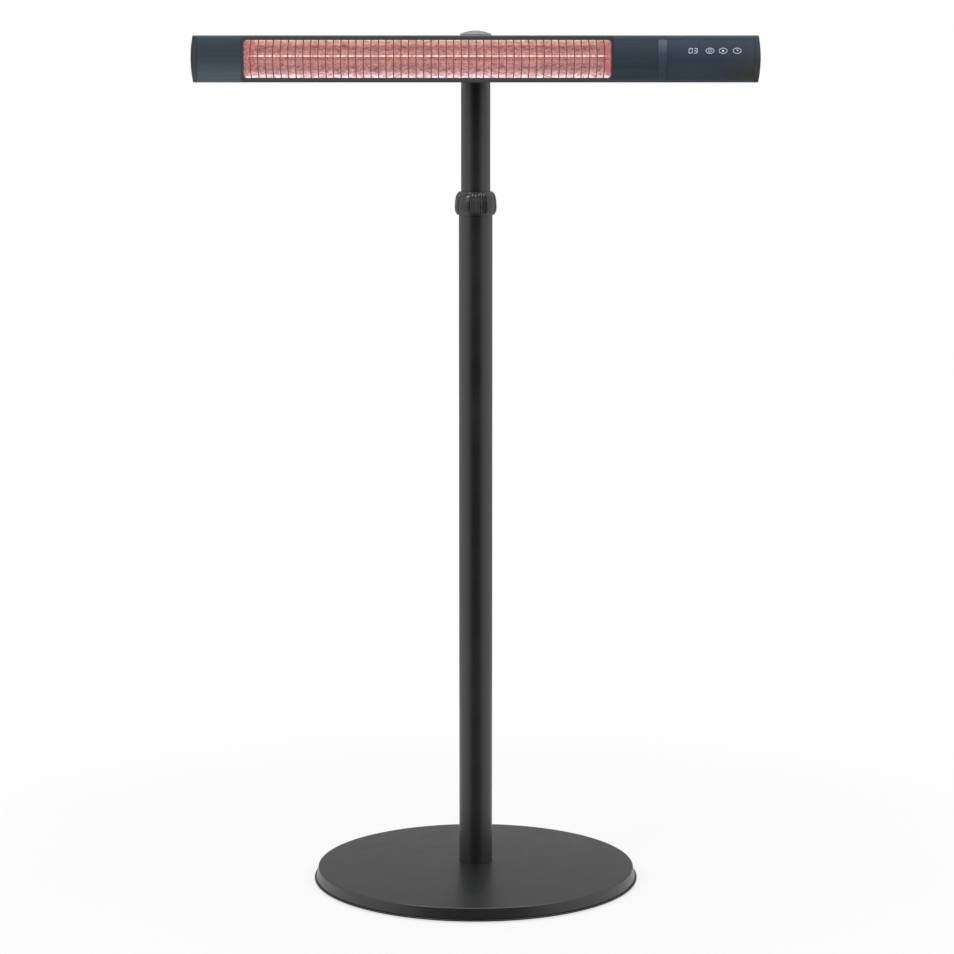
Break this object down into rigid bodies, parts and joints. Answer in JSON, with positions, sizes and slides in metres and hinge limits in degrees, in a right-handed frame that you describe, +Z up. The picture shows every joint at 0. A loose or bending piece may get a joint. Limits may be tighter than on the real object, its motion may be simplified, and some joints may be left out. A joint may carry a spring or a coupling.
{
  "type": "infrared patio heater",
  "caption": "Free-standing electric infrared patio heater: a slim horizontal radiant head on a telescopic round column with a domed disc base.",
  "frame": {"origin": "centre of the footprint on the ground, under the column's axis", "axes": "+Z up along the column, the heater faces -Y, +X to the right of its face"},
  "size_m": [0.8318, 0.5, 1.3027],
  "materials": {
    "black_coat": "fine textured satin black powder coat",
    "black_plastic": "moulded satin black plastic",
    "white_plastic": "natural moulded plastic",
    "blue_grey_coat": "satin blue-grey coat on extruded aluminium",
    "control_glass": "gloss dark glass",
    "smoked_plastic": "smoked translucent window",
    "polished_red": "polished reflector in the lamp's red light",
    "dark_wire": "dark red-brown coated wire",
    "quartz": "ruby tinted clear quartz",
    "glowing_wire": "resistance wire in the lamp's warm light",
    "ceramic": "unglazed ceramic",
    "steel": "zinc plated",
    "grey_cap": "light grey satin",
    "rubber": "matt black rubber",
    "lead_sleeve": "silicone sleeve",
    "circuit_board": "green solder mask"
  },
  "bodies": {
    "stand": {"base_cover": "black_coat", "base_weight": "steel", "base_plate": "black_coat", "foot_pad_1": "rubber", "foot_pad_2": "rubber", "foot_pad_3": "rubber", "foot_pad_4": "rubber", "foot_pad_5": "rubber", "foot_pad_6": "rubber", "tube_foot": "steel", "base_bolt": "steel", "lower_tube": "black_coat", "collar_ferrule": "black_plastic", "collet_ring": "white_plastic"},
    "collar": {"locking_collar": "black_plastic"},
    "slider": {"mast_slider": "black_plastic"},
    "mast": {"upper_tube": "black_coat", "pole_cap": "grey_cap", "mast_bracket": "black_coat", "friction_washer_left": "white_plastic", "friction_washer_right": "white_plastic"},
    "head": {"tilt_bracket": "black_coat", "tilt_bolt": "steel", "bracket_screw_1": "steel", "bracket_screw_2": "steel", "bracket_screw_3": "steel", "bracket_screw_4": "steel", "head_shell": "blue_grey_coat", "end_cap_left": "blue_grey_coat", "end_cap_right": "blue_grey_coat", "end_cap_screw_1": "steel", "end_cap_screw_2": "steel", "end_cap_screw_3": "steel", "end_cap_screw_4": "steel", "blank_panel_left": "blue_grey_coat", "window_frame": "blue_grey_coat", "blank_panel_right": "blue_grey_coat", "receiver_window": "smoked_plastic", "control_glass": "control_glass", "guard_grille": "dark_wire", "reflector": "polished_red", "reflector_end_left": "polished_red", "reflector_end_right": "polished_red", "quartz_tube": "quartz", "filament": "glowing_wire", "lamp_socket_left": "ceramic", "lamp_socket_right": "ceramic", "lamp_clip_left": "steel", "lamp_clip_right": "steel", "control_board": "circuit_board", "display_module": "black_plastic", "board_carrier": "black_plastic", "power_board": "circuit_board", "terminal_block": "white_plastic", "tip_over_switch": "black_plastic", "thermal_cutout": "steel", "cable_gland": "black_plastic", "lamp_lead_left": "lead_sleeve", "lamp_lead_right": "lead_sleeve"},
    "knob": {"tilt_knob": "black_plastic"}
  },
  "joints": [
    {"name": "collar_twist", "type": "hinge", "parent": "stand", "child": "collar", "pos_m": [0, 0, 1.046], "axis": [0, 0, 1], "range_deg": [0, 90]},
    {"name": "mast_slide", "type": "slide", "parent": "stand", "child": "slider", "axis": [0, 0, 1], "range_m": [-0.1, 0.5]},
    {"name": "mast_swivel", "type": "hinge", "parent": "slider", "child": "mast", "pos_m": [0, 0, 1.17], "axis": [0, 0, 1], "range_deg": [-180, 180]},
    {"name": "head_tilt", "type": "hinge", "parent": "mast", "child": "head", "pos_m": [0, -0.045, 1.2612], "axis": [1, 0, 0], "range_deg": [-15, 45]},
    {"name": "knob_turn", "type": "hinge", "parent": "head", "child": "knob", "pos_m": [0.03, -0.045, 1.2612], "axis": [1, 0, 0], "continuous": true}
  ]
}
